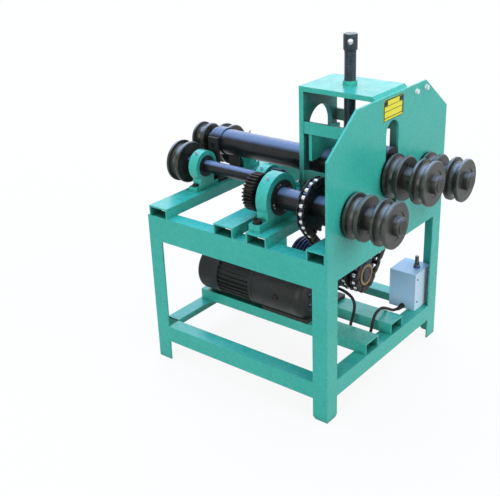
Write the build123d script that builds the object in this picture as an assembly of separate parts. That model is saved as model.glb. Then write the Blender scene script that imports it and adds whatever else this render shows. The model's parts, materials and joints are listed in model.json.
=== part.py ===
from build123d import *
import math
import os

# Electric three-roll pipe bender on an angle-steel table.
# Millimetres, Z up, working face towards -Y, floor at Z = 0.
# Shapes are drawn about the middle of the table and moved along Y on export,
# so that the origin lies under the middle of the whole machine.

# Table
table_width = 720.0
table_length = 740.0
table_height = 560.0
angle_size = 56.0
angle_wall = 5.0
foot_trim = 9.0
side_rail_height = 90.0
side_rail_flange = 52.0
side_rail_wall = 6.0
lower_rail_height = 60.0
lower_rail_lip = 52.0
lower_rail_top = 136.0
shelf_rail_width = 80.0
shelf_rail_height = 40.0
shelf_rail_offset = 82.0
shelf_rail_end_gap = 6.0
channel_width = 80.0
front_channel_width = 70.0
channel_height = 36.0
channel_wall = 5.0
rear_channel_inset = 50.0
third_channel_back = 260.0

# Front plate and press gantry
plate_thickness = 8.0
plate_foot = 21.0
shoulder_rise = 285.0
plate_rise = 401.0
plate_top_half = 206.0
slot_half = 38.0
slot_rise = 36.0
slot_drop = 81.0
plate_hole_gap = 8.0
gantry_half = 97.0
gantry_wall = 17.0
gantry_set_back = 17.0
gantry_slot_half = 66.0
gantry_slot_drop = 68.0
gantry_slot_rise = 64.0
top_plate_thickness = 16.0
top_plate_sink = 6.0
top_plate_bevel = 10.0
side_bar_thickness = 10.0
side_bar_height = 39.0
upper_bar_drop = 141.0
lower_bar_rise = 97.0
guide_width = 22.0
guide_depth = 24.0
guide_gap = 0.6
name_width = 118.0
name_height = 66.0
name_thickness = 1.0
name_drop = 9.0
corner_bolt_drop = 24.0

# Roller shafts
main_x = 225.0
shaft_rise = 82.0
upper_rise = 58.0
front_shaft_r = 24.0
main_shaft_r = 35.0
gear_seat_r = 28.0
rear_shaft_r = 22.0
stub_length = 20.0
shaft_end_chamfer = 2.5
running_gap = 0.05

# Bending dies
die_r = 72.0
die_width = 53.0
die_rim = 11.0
die_spacing = 93.5
die_plate_gap = 5.5
die_hub_r = 44.0
die_hub_recess = 2.0
lock_nut_r = 30.0
lock_nut_bevel = 2.0
spacer_r = 36.0
rear_die_r = 74.0
rear_die_width = 54.0
rear_die_gap = 4.0
upper_rear_die_r = 54.0
groove_edge_r = 3.0

# Rear arm pivot and pressed arm
arm_r = 44.5
arm_bore_r = 34.5
arm_set_back = 37.0
arm_overhang = 32.0
trunnion_r = 10.0
trunnion_reach = 61.0
collar_r = 49.0
collar_width = 40.0
cheek_gap = 1.0
cheek_thickness = 10.0
cheek_width = 44.0
cheek_rise = 26.0
stand_base = 12.0
bush_length = 40.0
block_gap = 1.0
block_rise = 89.0
block_drop = 64.0
block_corner = 25.0
block_front_gap = 1.0
saddle_half = 60.0
saddle_rise = 16.0
saddle_height = 60.0
saddle_rear_gap = 84.0
saddle_length = 112.0
panel_half = 82.0
panel_rise = 26.0
panel_height = 88.0
panel_thickness = 12.0
panel_gap = 10.0

# Press screw
screw_set_back = 149.0
screw_r = 19.0
screw_head_r = 22.5
screw_head_height = 48.0
screw_neck = 4.0
screw_rise = 168.0
bar_hole_r = 9.0
bar_hole_drop = 22.0
bar_hole_turn = 32.4
nut_r = 30.0
nut_drop = 20.0
nut_collar_r = 23.0
nut_collar_height = 14.0
thread_gap = 0.3
pad_r = 26.0
pad_gap = 3.0
pad_height = 16.0
spigot_r = 10.0
spigot_length = 9.0

# Bearings
centre_pillow_ring = 80.0
centre_pillow_width = 43.0
centre_pillow_half = 118.0
centre_pillow_base = 24.0
centre_insert_r = 58.0
rear_pillow_ring = 54.0
rear_pillow_width = 37.0
rear_pillow_half = 58.0
rear_pillow_base = 16.0
rear_insert_r = 38.0
insert_proud = 3.0
flange_bearing_r = 60.0
flange_bearing_width = 36.0
flange_insert_r = 40.0
big_bolt_r = 8.0
small_bolt_r = 5.0
bolt_clearance = 0.5

# Gears: wheel on each main shaft, pinion on each rear shaft
gear_module = 4.0
wheel_teeth = 30
pinion_teeth = 22
gear_gap = 29.0
gear_width = 38.0
gear_rear_gap = 5.5

# Chain drive
chain_pitch = 25.4
main_sprocket_teeth = 20
drive_sprocket_teeth = 13
drive_rise = 186.0
roller_r = 7.95
seat_gap = 0.5
sprocket_width = 14.4
chain_inner = 15.9
chain_plate = 3.2
chain_side_gap = 0.3
chain_pin_r = 4.0
chain_pin_gap = 0.2
chain_pin_head = 1.5
crank_start = -1.7
crank_end = -0.3
inner_plate_half = 12.0
outer_plate_half = 10.4
tooth_height = 5.6
tooth_sweep_gap = 0.6
chain_set_back = 89.0
chain_step_back = 33.0
sprocket_hub_r = 52.0
sprocket_hub_length = 30.0
drive_hub_r = 38.0
drive_hub_proud = 14.0
drive_shaft_r = 22.0

# Motor and reducer
motor_x = -75.0
motor_rise = 90.0
motor_r = 78.0
motor_fin = 9.0
motor_fins = 30
motor_length = 172.0
motor_wall = 10.0
motor_shield = 14.0
fan_cover_length = 80.0
fan_cover_r = 88.0
fan_cover_wall = 2.0
stator_wall = 10.0
rotor_gap = 1.0
rotor_shaft_r = 14.0
fan_r = 72.0
fan_width = 26.0
fan_blades = 9
reducer_length = 220.0
reducer_r = 86.0
reducer_round = 34.0
reducer_rib = 24.0
output_house_r = 70.0
output_house_gap = 54.0
output_house_length = 176.0
output_house_step = 56.0
output_shaft_hold = 60.0
reducer_foot = 14.0

# Control box, reversing switch and cable
box_width = 113.0
box_depth = 105.0
box_height = 145.0
box_side_gap = 10.0
box_front_gap = 21.0
box_wall = 2.0
lid_thickness = 2.5
switch_offset = 62.0
switch_set_back = 31.0
switch_collar_r = 9.5
switch_collar_height = 8.0
switch_pin_r = 4.0
lever_r = 7.0
lever_length = 36.0
cable_r = 5.5
gland_r = 8.5
gland_length = 18.0
terminal_depth = 46.0
terminal_length = 96.0
terminal_height = 84.0
terminal_set_back = 44.0

# Worked-out positions: heights
half_width = table_width / 2
half_length = table_length / 2
rail_bottom = table_height - side_rail_height
deck_z = table_height + channel_height
shelf_z = lower_rail_top + shelf_rail_height
plate_bottom = rail_bottom + plate_foot
plate_shoulder = deck_z + shoulder_rise
plate_top = deck_z + plate_rise
slot_bottom = deck_z + slot_rise
slot_top = plate_top - slot_drop
gantry_top = plate_top - top_plate_sink
gantry_slot_top = plate_top - gantry_slot_drop
gantry_slot_bottom = deck_z + gantry_slot_rise
upper_bar_bottom = plate_top - upper_bar_drop
lower_bar_bottom = deck_z + lower_bar_rise
name_bottom = plate_top - name_drop - name_height
top_plate_top = gantry_top + top_plate_thickness
main_z = deck_z + shaft_rise
upper_z = main_z + upper_rise
block_top = upper_z + block_rise
block_bottom = upper_z - block_drop
saddle_bottom = upper_z + saddle_rise
saddle_top = saddle_bottom + saddle_height
pad_bottom = saddle_top + pad_gap
pad_top = pad_bottom + pad_height
screw_head_top = plate_top + screw_rise
screw_head_bottom = screw_head_top - screw_head_height
motor_z = shelf_z + motor_rise
box_bottom = lower_rail_top
box_top = box_bottom + box_height

# Worked-out positions: front to rear
plate_front_y = -half_length
plate_back_y = plate_front_y + plate_thickness
front_channel_y = plate_back_y + front_channel_width / 2
third_channel_y = plate_back_y + third_channel_back
rear_channel_y = half_length - rear_channel_inset
centre_pillow_y = third_channel_y + channel_width / 2 - centre_pillow_width / 2
gear_front_y = centre_pillow_y + centre_pillow_width / 2 + insert_proud + gear_gap
gear_rear_y = gear_front_y + gear_width
second_channel_y = gear_rear_y + gear_rear_gap + rear_pillow_width / 2
gantry_rear_y = third_channel_y + gantry_set_back
gantry_front_y = gantry_rear_y - gantry_wall
saddle_rear_y = gantry_front_y - saddle_rear_gap
panel_rear_y = gantry_front_y - panel_gap
screw_y = plate_back_y + screw_set_back
arm_front_y = plate_back_y + arm_set_back
arm_rear_y = rear_channel_y + arm_overhang
pivot_y = rear_channel_y
die_start_y = plate_front_y - die_plate_gap
die_end_y = die_start_y - die_spacing - die_width
stub_end_y = die_end_y - stub_length
rear_die_y = half_length + rear_die_gap
rear_die_end_y = rear_die_y + rear_die_width
rear_stub_end_y = rear_die_end_y + stub_length
table_y = -(stub_end_y + rear_stub_end_y) / 2
right_chain_y = plate_back_y + chain_set_back
left_chain_y = right_chain_y + chain_step_back
output_house_front_y = left_chain_y + output_house_gap
output_house_rear_y = output_house_front_y + output_house_length
reducer_front_y = output_house_front_y + output_house_step
motor_front_y = reducer_front_y + reducer_length
motor_rear_y = motor_front_y + motor_length
fan_cover_rear_y = motor_rear_y + fan_cover_length
terminal_front_y = motor_front_y + terminal_set_back
foot_front_y = reducer_front_y + 5
foot_rear_y = motor_front_y - 20

# Worked-out positions: side to side
rear_x = main_x - gear_module * (wheel_teeth + pinion_teeth) / 2
box_right = half_width - box_side_gap
box_left = box_right - box_width
box_front = plate_front_y + box_front_gap
box_rear = box_front + box_depth
switch_x = box_left + switch_offset
switch_y = box_front + switch_set_back

# Chain: the whole number of links nearest the wished height of the drive shaft then sets that height
main_pitch_r = chain_pitch / 2 / math.sin(math.pi / main_sprocket_teeth)
drive_pitch_r = chain_pitch / 2 / math.sin(math.pi / drive_sprocket_teeth)
sprocket_sum = main_sprocket_teeth + drive_sprocket_teeth
sprocket_lag = ((main_sprocket_teeth - drive_sprocket_teeth) / (2 * math.pi)) ** 2
wished_reach = math.hypot(main_x, main_z - shelf_z - drive_rise) / chain_pitch
chain_links = round(2 * wished_reach + sprocket_sum / 2 + sprocket_lag / wished_reach)
chain_free = chain_links - sprocket_sum / 2
chain_reach = chain_pitch / 4 * (chain_free + math.sqrt(chain_free ** 2 - 8 * sprocket_lag))
drive_z = main_z - math.sqrt(chain_reach ** 2 - main_x ** 2)


def block(x0, x1, y0, y1, z0, z1):
    """Box between two opposite corners."""
    middle = Pos((x0 + x1) / 2, (y0 + y1) / 2, (z0 + z1) / 2)
    return middle * Box(abs(x1 - x0), abs(y1 - y0), abs(z1 - z0))


def along_y(sketch, y0, y1):
    """Stretch a front-view outline from y0 back to y1."""
    return extrude(Plane.XZ.offset(-y1) * sketch, y1 - y0, dir=(0, -1, 0))


def along_z(sketch, z0, z1):
    """Stretch a plan outline from z0 up to z1."""
    return extrude(Plane.XY.offset(z0) * sketch, z1 - z0, dir=(0, 0, 1))


def round_y(r, x, z, y0, y1):
    """Round bar lying along Y."""
    return along_y(Pos(x, z) * Circle(r), y0, y1)


def round_x(r, y, z, x0, x1):
    """Round bar lying along X."""
    return Pos((x0 + x1) / 2, y, z) * Rot(0, 90, 0) * Cylinder(r, abs(x1 - x0))


def turned(points, x, z):
    """Solid of revolution about a Y axis from (radius, y) corners."""
    outline = make_face(Polyline(*points, close=True))
    return Pos(x, 0, z) * revolve(outline, Axis.Y)


def hex_bolt(r, length):
    """Hexagon bolt with washer, shank pointing down from z = 0."""
    shank = Pos(0, 0, -length / 2) * Cylinder(r, length)
    washer = Pos(0, 0, 1) * Cylinder(2 * r, 2)
    head = extrude(Plane.XY.offset(2) * RegularPolygon(1.75 * r, 6), 1.3 * r)
    return shank + washer + head


def save(name, *solids):
    """Write one node, moved so that the origin is under the machine's middle."""
    moved = [Pos(0, table_y, 0) * solid for solid in solids]
    node = moved[0] if len(moved) == 1 else Compound(children=moved)
    node.label = name
    export_step(node, "parts/" + name + ".step")


os.makedirs("parts", exist_ok=True)

# Legs: four equal angles, heels outwards, free corners trimmed at the floor
legs = []
for sx in (-1, 1):
    for sy in (-1, 1):
        x, y = sx * half_width, sy * half_length
        side = block(x, x - sx * angle_wall, y, y - sy * angle_size, 0, rail_bottom)
        side = chamfer(side.edges().filter_by(Axis.X).group_by(Axis.Z)[0].sort_by(Axis.Y)[sy > 0 and 0 or -1],
                       foot_trim)
        face = block(x, x - sx * angle_size, y, y - sy * angle_wall, 0, rail_bottom)
        face = chamfer(face.edges().filter_by(Axis.Y).group_by(Axis.Z)[0].sort_by(Axis.X)[sx > 0 and 0 or -1],
                       foot_trim)
        legs.append(side + face)
save("legs", *legs)

# Side rails: deep angles lying on the legs behind the front plate
for name, sx in (("side_rail_left", -1), ("side_rail_right", 1)):
    x = sx * half_width
    web = block(x, x - sx * side_rail_wall, plate_back_y, half_length, rail_bottom, table_height)
    lip_z = table_height - side_rail_wall
    lip = block(x, x - sx * side_rail_flange, plate_back_y, half_length, lip_z, table_height)
    save(name, web + lip)

# Lower rails: angles between the legs, one flange up top and inwards
low_z = lower_rail_top - lower_rail_height
lip_z = lower_rail_top - angle_wall
run = half_length - angle_size
lower_sides = []
for sx in (-1, 1):
    x = sx * half_width
    web = block(x, x - sx * angle_wall, -run, run, low_z, lower_rail_top)
    lip = block(x, x - sx * lower_rail_lip, -run, run, lip_z, lower_rail_top)
    lower_sides.append(web + lip)
save("lower_side_rails", *lower_sides)
run = half_width - angle_size
lower_ends = []
for sy in (-1, 1):
    y = sy * half_length
    web = block(-run, run, y, y - sy * angle_wall, low_z, lower_rail_top)
    lip = block(-run, run, y, y - sy * lower_rail_lip, lip_z, lower_rail_top)
    lower_ends.append(web + lip)
save("lower_end_rails", *lower_ends)

# Shelf rails: two upturned channels carrying the drive
shelf_end = half_length - shelf_rail_end_gap
shelf_rails = []
for sx in (-1, 1):
    x0 = sx * shelf_rail_offset - shelf_rail_width / 2
    x1 = x0 + shelf_rail_width
    outer = block(x0, x1, -shelf_end, shelf_end, lower_rail_top, shelf_z)
    inner = block(x0 + channel_wall, x1 - channel_wall, -shelf_end, shelf_end,
                  lower_rail_top, shelf_z - channel_wall)
    shelf_rails.append(outer - inner)
save("shelf_rails", *shelf_rails)

# Bearing bolts: places on the deck and the bolts themselves
pillow_bolts = []
centre_bolt_x = centre_pillow_half - 18
rear_bolt_x = rear_pillow_half - 11
centre_bolt_grip = centre_pillow_base + channel_wall
rear_bolt_grip = rear_pillow_base + channel_wall
bolt_places = []
for sx in (-1, 1):
    for side in (-1, 1):
        place = (sx * main_x + side * centre_bolt_x, centre_pillow_y)
        bolt_places.append((place[0], place[1], big_bolt_r))
        head = Pos(place[0], place[1], deck_z + centre_pillow_base)
        pillow_bolts.append(head * hex_bolt(big_bolt_r, centre_bolt_grip))
        for y in (rear_channel_y, second_channel_y):
            place = (sx * rear_x + side * rear_bolt_x, y)
            bolt_places.append((place[0], place[1], small_bolt_r))
            head = Pos(place[0], place[1], deck_z + rear_pillow_base)
            pillow_bolts.append(head * hex_bolt(small_bolt_r, rear_bolt_grip))
save("pillow_bolts", *pillow_bolts)

# Cross channels on the side rails, open side down, drilled for the bearing bolts
cross_channels = []
for y in (rear_channel_y, second_channel_y, third_channel_y, front_channel_y):
    width = front_channel_width if y == front_channel_y else channel_width
    y0, y1 = y - width / 2, y + width / 2
    outer = block(-half_width, half_width, y0, y1, table_height, deck_z)
    inner = block(-half_width, half_width, y0 + channel_wall, y1 - channel_wall,
                  table_height, deck_z - channel_wall)
    channel = outer - inner
    for bx, by, r in bolt_places:
        if y0 < by < y1:
            channel -= Pos(bx, by, deck_z) * Cylinder(r + bolt_clearance, 4 * channel_wall)
    cross_channels.append(channel)
save("cross_channels", *cross_channels)

# Front plate with chamfered shoulders, centre slot and two shaft holes
leg_in = half_width - angle_size
plate_outline = make_face(Polyline(
    (-half_width, rail_bottom), (-leg_in, rail_bottom), (-leg_in, plate_bottom),
    (leg_in, plate_bottom), (leg_in, rail_bottom), (half_width, rail_bottom),
    (half_width, plate_shoulder), (plate_top_half, plate_top),
    (-plate_top_half, plate_top), (-half_width, plate_shoulder), close=True))
slot_round_z = slot_top - slot_half
slot_rect_z = (slot_bottom + slot_round_z) / 2
slot = Pos(0, slot_rect_z) * Rectangle(2 * slot_half, slot_round_z - slot_bottom)
slot += Pos(0, slot_round_z) * Circle(slot_half)
plate_outline -= slot
for sx in (-1, 1):
    plate_outline -= Pos(sx * main_x, main_z) * Circle(front_shaft_r + plate_hole_gap)
corner_bolt_z = plate_top - corner_bolt_drop
plate_bolt_places = [(0.69 * plate_top_half, corner_bolt_z), (plate_top_half, corner_bolt_z)]
flange_bolt_ring = (flange_bearing_r + flange_insert_r) / 2
flange_bolt_places = []
for sx in (-1, 1):
    for turn in (45, 135, 225, 315):
        bx = sx * main_x + flange_bolt_ring * math.cos(math.radians(turn))
        bz = main_z + flange_bolt_ring * math.sin(math.radians(turn))
        flange_bolt_places.append((bx, bz))
for bx, bz in plate_bolt_places + flange_bolt_places:
    plate_outline -= Pos(bx, bz) * Circle(small_bolt_r)
save("front_plate", along_y(plate_outline, plate_front_y, plate_back_y))

# Bolts through the front plate: two near the top corner, four in each flange bearing
plate_bolts = []
for bx, bz in plate_bolt_places:
    seat = Pos(bx, plate_front_y, bz) * Rot(90, 0, 0)
    plate_bolts.append(seat * hex_bolt(small_bolt_r, plate_thickness))
flange_back_y = plate_back_y + flange_bearing_width
for bx, bz in flange_bolt_places:
    seat = Pos(bx, flange_back_y, bz) * Rot(-90, 0, 0)
    plate_bolts.append(seat * hex_bolt(small_bolt_r, flange_bearing_width + plate_thickness))
save("plate_bolts", *plate_bolts)

# Bare nameplate above the slot
save("nameplate", block(-name_width / 2, name_width / 2, plate_front_y - name_thickness,
                        plate_front_y, name_bottom, name_bottom + name_height))

# Gantry: rear plate standing on the third channel, top plate, side bars
rear_outline = Pos(0, (deck_z + gantry_top) / 2) * Rectangle(2 * gantry_half, gantry_top - deck_z)
arch_z = gantry_slot_top - gantry_slot_half
arch_middle = (gantry_slot_bottom + arch_z) / 2
rear_outline -= Pos(0, arch_middle) * Rectangle(2 * gantry_slot_half, arch_z - gantry_slot_bottom)
rear_outline -= Pos(0, arch_z) * Circle(gantry_slot_half)
save("gantry_rear_plate", along_y(rear_outline, gantry_front_y, gantry_rear_y))

top_outline = make_face(Polyline(
    (-gantry_half, gantry_rear_y), (gantry_half, gantry_rear_y),
    (gantry_half, plate_back_y), (-gantry_half, plate_back_y), close=True))
top_outline -= Pos(0, screw_y) * Circle(nut_r)
top_plate = along_z(top_outline, gantry_top, top_plate_top)
top_front = top_plate.edges().filter_by(Axis.X).group_by(Axis.Y)[0].sort_by(Axis.Z)[-1]
save("gantry_top_plate", chamfer(top_front, top_plate_bevel))

side_bars = []
for sx in (-1, 1):
    x0 = sx * gantry_half
    x1 = x0 - sx * side_bar_thickness
    for low in (upper_bar_bottom, lower_bar_bottom):
        side_bars.append(block(x0, x1, plate_back_y, gantry_front_y, low, low + side_bar_height))
save("gantry_side_bars", *side_bars)

# Guide bars beside the slot, welded behind the front plate
guides = []
for sx in (-1, 1):
    x0 = sx * (slot_half + guide_gap)
    guides.append(block(x0, x0 + sx * guide_width, plate_back_y, plate_back_y + guide_depth,
                        slot_bottom, slot_top))
save("slide_guides", *guides)

# Screw nut set into the top plate, with a slim collar above it
thread = Circle(screw_r + thread_gap)
nut = along_z(Pos(0, screw_y) * (Circle(nut_r) - thread), gantry_top - nut_drop, top_plate_top)
nut += along_z(Pos(0, screw_y) * (Circle(nut_collar_r) - thread), top_plate_top,
               top_plate_top + nut_collar_height)
save("screw_nut", nut)

# Pillow-block housings
def pillow(x, y, ring, width, half, base, bore, bolt_x, bolt_r):
    """Foot-mounted bearing housing standing on the deck."""
    rise = main_z - deck_z
    outline = Pos(x, main_z) * Circle(ring)
    neck = bolt_x - 2.4 * bolt_r
    outline += Pos(x, deck_z + rise / 2) * Rectangle(2 * min(neck, 0.92 * ring), rise)
    outline += Pos(x, deck_z + base / 2) * Rectangle(2 * half, base)
    outline -= Pos(x, main_z) * Circle(bore)
    housing = along_y(outline, y - width / 2, y + width / 2)
    for side in (-1, 1):
        hole = Pos(x + side * bolt_x, y, deck_z + base / 2)
        housing -= hole * Cylinder(bolt_r + bolt_clearance, 2 * base)
    return housing


for name, sx in (("centre_pillow_left", -1), ("centre_pillow_right", 1)):
    save(name, pillow(sx * main_x, centre_pillow_y, centre_pillow_ring, centre_pillow_width,
                      centre_pillow_half, centre_pillow_base, centre_insert_r, centre_bolt_x, big_bolt_r))
rear_pillows = []
for sx in (-1, 1):
    for y in (rear_channel_y, second_channel_y):
        rear_pillows.append(pillow(sx * rear_x, y, rear_pillow_ring, rear_pillow_width,
                                   rear_pillow_half, rear_pillow_base, rear_insert_r,
                                   rear_bolt_x, small_bolt_r))
save("rear_pillows", *rear_pillows)

# Flange bearings behind the front plate
flange_bearings = []
for sx in (-1, 1):
    ring = Pos(sx * main_x, main_z) * (Circle(flange_bearing_r) - Circle(flange_insert_r))
    for bx, bz in flange_bolt_places:
        ring -= Pos(bx, bz) * Circle(small_bolt_r)
    flange_bearings.append(along_y(ring, plate_back_y, flange_back_y))
save("flange_bearings", *flange_bearings)

# Bearing inserts, a running gap larger than the shafts
def insert(x, y, width, outer, inner):
    """Bearing ring standing a little proud of its housing."""
    ring = Pos(x, main_z) * (Circle(outer) - Circle(inner + running_gap))
    half = width / 2 + insert_proud
    return along_y(ring, y - half, y + half)


inserts = []
for sx in (-1, 1):
    inserts.append(insert(sx * main_x, centre_pillow_y, centre_pillow_width, centre_insert_r, main_shaft_r))
    flange_y = plate_back_y + flange_bearing_width / 2 + insert_proud
    flange_span = flange_bearing_width - 2 * insert_proud
    inserts.append(insert(sx * main_x, flange_y, flange_span, flange_insert_r, front_shaft_r))
    for y in (rear_channel_y, second_channel_y):
        inserts.append(insert(sx * rear_x, y, rear_pillow_width, rear_insert_r, rear_shaft_r))
save("bearing_inserts", *inserts)


# Grooved bending dies
def die(x, z, y0, width, r, rim, bore):
    """Turned die with a round groove; y0 is its front face."""
    y1 = y0 + width
    mid = (y0 + y1) / 2
    groove = width / 2 - rim
    centre_r = r - groove_edge_r
    hub = die_hub_r * r / die_r
    front = Polyline((centre_r, mid - groove), (r, mid - groove), (r, y0 + groove_edge_r), (centre_r, y0),
                     (hub, y0), (hub, y0 + die_hub_recess), (bore, y0 + die_hub_recess),
                     (bore, y1 - die_hub_recess), (hub, y1 - die_hub_recess), (hub, y1), (centre_r, y1),
                     (r, y1 - groove_edge_r), (r, mid + groove), (centre_r, mid + groove))
    bottom = ThreePointArc((centre_r, mid + groove), (centre_r - groove, mid), (centre_r, mid - groove))
    return Pos(x, 0, z) * revolve(make_face([front, bottom]), Axis.Y)


def front_dies(x, z):
    """Two dies with a spacer ring between them and a lock nut in front."""
    second_y = die_start_y - die_width
    first_y = die_end_y
    spacer = turned([(front_shaft_r, first_y + die_width - die_hub_recess),
                     (spacer_r, first_y + die_width - die_hub_recess),
                     (spacer_r, second_y + die_hub_recess),
                     (front_shaft_r, second_y + die_hub_recess)], x, z)
    nut_back_y, nut_front_y = first_y + die_hub_recess, stub_end_y + shaft_end_chamfer
    lock_nut = turned([(front_shaft_r, nut_back_y), (lock_nut_r, nut_back_y),
                       (lock_nut_r, nut_front_y + lock_nut_bevel), (lock_nut_r - lock_nut_bevel, nut_front_y),
                       (front_shaft_r, nut_front_y)], x, z)
    return [die(x, z, first_y, die_width, die_r, die_rim, front_shaft_r), spacer,
            die(x, z, second_y, die_width, die_r, die_rim, front_shaft_r), lock_nut]


save("left_dies", *front_dies(-main_x, main_z))
save("right_dies", *front_dies(main_x, main_z))
save("upper_dies", *front_dies(0, upper_z))
save("rear_left_die", die(-rear_x, main_z, rear_die_y, rear_die_width, rear_die_r, die_rim, rear_shaft_r))
save("rear_right_die", die(rear_x, main_z, rear_die_y, rear_die_width, rear_die_r, die_rim, rear_shaft_r))
save("upper_rear_die", die(0, upper_z, rear_die_y, rear_die_width, upper_rear_die_r, die_rim, front_shaft_r))


# Toothed outlines
def gear_outline(teeth, turn):
    """Gear outline with straight-flanked teeth, one tooth at the given angle."""
    pitch_r = gear_module * teeth / 2
    step = 2 * math.pi / teeth
    corners = ((pitch_r - 1.25 * gear_module, 0.33), (pitch_r, 0.235), (pitch_r + 0.95 * gear_module, 0.11))
    points = []
    for i in range(teeth):
        middle = math.radians(turn) + i * step
        for r, share in corners:
            points.append((r * math.cos(middle - share * step), r * math.sin(middle - share * step)))
        for r, share in reversed(corners):
            points.append((r * math.cos(middle + share * step), r * math.sin(middle + share * step)))
    return make_face(Polyline(*points, close=True))


def sprocket_outline(teeth, pitch_r, turn):
    """Chain wheel outline with one roller seat at the given angle."""
    outline = Circle(pitch_r + tooth_height)
    seat = roller_r + seat_gap
    for i in range(teeth):
        angle = math.degrees(turn) + 360 * i / teeth
        mouth = make_face(Polyline((0, -seat), (tooth_height + 2, -seat - 2.6),
                                   (tooth_height + 2, seat + 2.6), (0, seat), close=True))
        outline -= Rot(0, 0, angle) * Pos(pitch_r, 0) * (Circle(seat) + mouth)
    return outline


# Main shafts with their gear wheels
for name, sx in (("left", -1), ("right", 1)):
    x = sx * main_x
    c = shaft_end_chamfer
    flange_end_y = flange_back_y + 2 * insert_proud
    insert_end_y = centre_pillow_y + centre_pillow_width / 2 + insert_proud
    save(name + "_shaft", turned([
        (0, stub_end_y), (front_shaft_r - c, stub_end_y), (front_shaft_r, stub_end_y + c),
        (front_shaft_r, flange_end_y), (main_shaft_r, flange_end_y), (main_shaft_r, insert_end_y),
        (gear_seat_r, insert_end_y), (gear_seat_r, gear_rear_y + 4), (0, gear_rear_y + 4)], x, main_z))
    wheel = Pos(x, main_z) * (gear_outline(wheel_teeth, 0) - Circle(gear_seat_r))
    save(name + "_gear", along_y(wheel, gear_front_y, gear_rear_y))

# Rear shafts with the pinion cut on the front end
for name, sx in (("rear_left", -1), ("rear_right", 1)):
    x = sx * rear_x
    c = shaft_end_chamfer
    shaft = turned([
        (0, gear_front_y - 4), (rear_shaft_r, gear_front_y - 4), (rear_shaft_r, rear_stub_end_y - c),
        (rear_shaft_r - c, rear_stub_end_y), (0, rear_stub_end_y)], x, main_z)
    pinion = Pos(x, main_z) * gear_outline(pinion_teeth, 180 / pinion_teeth)
    save(name + "_shaft", shaft + along_y(pinion, gear_front_y, gear_rear_y))

# Pressed arm: tube with trunnions, bushes, slide block, saddle and rear guide panel
arm = round_y(arm_r, 0, upper_z, arm_front_y, arm_rear_y)
arm += round_y(collar_r, 0, upper_z, pivot_y - collar_width / 2, pivot_y + collar_width / 2)
arm += round_x(trunnion_r, pivot_y, upper_z, -trunnion_reach, trunnion_reach)
arm -= round_y(arm_bore_r, 0, upper_z, arm_front_y - 1, arm_rear_y + 1)
save("arm_tube", arm)

bush = Pos(0, upper_z) * (Circle(arm_bore_r) - Circle(front_shaft_r + running_gap))
save("arm_bushes", along_y(bush, arm_front_y, arm_front_y + bush_length),
     along_y(bush, arm_rear_y - bush_length, arm_rear_y))

block_half = slot_half - block_gap
block_outline = Pos(0, (block_bottom + block_top) / 2) * RectangleRounded(
    2 * block_half, block_top - block_bottom, block_corner)
block_outline -= Pos(0, upper_z) * Circle(front_shaft_r + 3)
save("slide_block", along_y(block_outline, plate_front_y + block_front_gap, arm_front_y))

saddle_front_y = saddle_rear_y - saddle_length
saddle = block(-saddle_half, saddle_half, saddle_front_y, saddle_rear_y, saddle_bottom, saddle_top)
saddle -= round_y(arm_r, 0, upper_z, saddle_front_y - 1, saddle_rear_y + 1)
panel_front_y = panel_rear_y - panel_thickness
panel = block(-panel_half, panel_half, panel_front_y, panel_rear_y,
              upper_z + panel_rise, upper_z + panel_rise + panel_height)
panel -= round_y(arm_r, 0, upper_z, panel_front_y - 1, panel_rear_y + 1)
save("saddle", saddle, panel)

# Upper shaft running in the arm
c = shaft_end_chamfer
save("upper_shaft", turned([
    (0, stub_end_y), (front_shaft_r - c, stub_end_y), (front_shaft_r, stub_end_y + c),
    (front_shaft_r, rear_stub_end_y - c), (front_shaft_r - c, rear_stub_end_y), (0, rear_stub_end_y)],
    0, upper_z))

# Stand for the arm pivot on the rear channel
cheek_in = collar_r + cheek_gap
cheek_out = cheek_in + cheek_thickness
stand = block(-cheek_out, cheek_out, pivot_y - cheek_width / 2, pivot_y + cheek_width / 2,
              deck_z, deck_z + stand_base)
for sx in (-1, 1):
    stand += block(sx * cheek_in, sx * cheek_out, pivot_y - cheek_width / 2, pivot_y + cheek_width / 2,
                   deck_z, upper_z + cheek_rise)
stand -= round_x(trunnion_r + running_gap, pivot_y, upper_z, -2 * cheek_out, 2 * cheek_out)
save("arm_pivot_stand", stand)

# Press screw with cross-drilled head, and its thrust pad
screw = along_z(Pos(0, screw_y) * Circle(screw_r), pad_top, screw_head_bottom)
screw += along_z(Pos(0, screw_y) * Circle(screw_head_r), screw_head_bottom, screw_head_top)
screw += Pos(0, screw_y, screw_head_bottom - screw_neck / 2) * Cone(screw_r, screw_head_r, screw_neck)
screw += along_z(Pos(0, screw_y) * Circle(spigot_r), pad_top - spigot_length, pad_top)
bar_hole = Pos(0, screw_y, screw_head_top - bar_hole_drop) * Rot(0, 0, bar_hole_turn) * Rot(0, 90, 0)
screw -= bar_hole * Cylinder(bar_hole_r, 4 * screw_head_r)
save("press_screw", screw)

pad = along_z(Pos(0, screw_y) * Circle(pad_r), pad_bottom, pad_top)
pad -= along_z(Pos(0, screw_y) * Circle(spigot_r + running_gap), pad_top - spigot_length - 1, pad_top + 1)
save("thrust_pad", pad)

# Chain run between a main sprocket and the drive sprocket, left side
reach_x, reach_z = main_x, drive_z - main_z
lean = math.atan2(reach_z, reach_x)
reach = math.hypot(reach_x, reach_z)
open_angle = math.acos((main_pitch_r - drive_pitch_r) / reach)
strand = math.sqrt(reach ** 2 - (main_pitch_r - drive_pitch_r) ** 2) / chain_pitch
main_step = 2 * math.pi / main_sprocket_teeth
drive_step = 2 * math.pi / drive_sprocket_teeth
main_wrap = (2 * math.pi - 2 * open_angle) / main_step
drive_wrap = 2 * open_angle / drive_step
chain_total = main_wrap + drive_wrap + 2 * strand


def on_circle(cx, cz, r, angle):
    return (cx + r * math.cos(angle), cz + r * math.sin(angle))


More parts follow.
